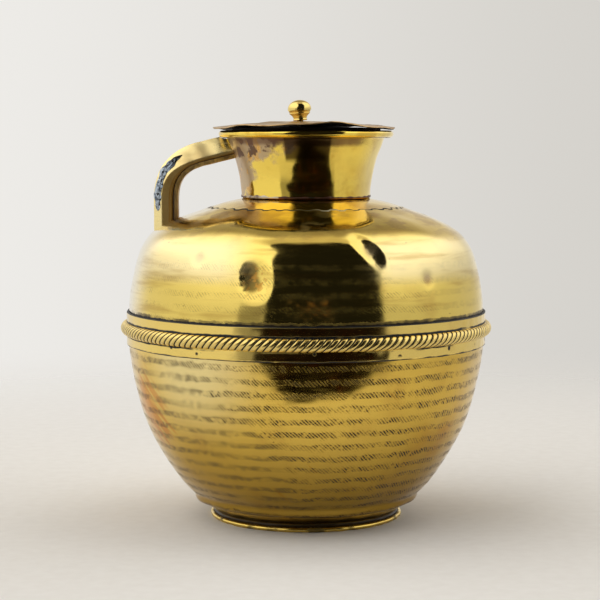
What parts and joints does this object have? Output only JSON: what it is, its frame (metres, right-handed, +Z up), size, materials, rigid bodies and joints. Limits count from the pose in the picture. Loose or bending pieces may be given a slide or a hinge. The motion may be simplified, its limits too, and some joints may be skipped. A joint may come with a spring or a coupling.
{
  "type": "lidded water pot",
  "caption": "Wide-bellied pot of hammered brass sheet with a flared neck, a strap handle at one side, a rope belt round its middle, a foot ring and a loose lid with a knob.",
  "frame": {"origin": "centre of the circle that the foot stands on, at the ground", "axes": "+Z up the pot's axis to the lid's knob; -X towards the handle; -Y towards the viewer of the picture"},
  "size_m": [0.308, 0.308, 0.3469],
  "materials": {
    "hammered_brass": "hammered and burnished, with grime in the marks",
    "polished_brass": "bright where hands and cloths have rubbed it",
    "dull_brass": "dull and browned",
    "solder": "dull grey soft solder, lumpy"
  },
  "bodies": {
    "pot": {"lower_bowl": "hammered_brass", "shoulder_shell": "hammered_brass", "crown_plate": "hammered_brass", "neck": "hammered_brass", "rim_wire": "polished_brass", "belt_band": "hammered_brass", "rope_moulding": "polished_brass", "foot_ring": "hammered_brass", "foot_wire": "polished_brass", "handle_shell": "hammered_brass", "handle_liner": "dull_brass", "handle_solder_repair": "solder"},
    "lid": {"lid_plate": "dull_brass", "lid_sleeve": "dull_brass", "lid_knob": "polished_brass", "knob_rove": "dull_brass"}
  },
  "joints": [
    {"name": "lid_lift", "type": "slide", "parent": "pot", "child": "lid", "axis": [0, 0, 1], "range_m": [0, 0.12]}
  ]
}
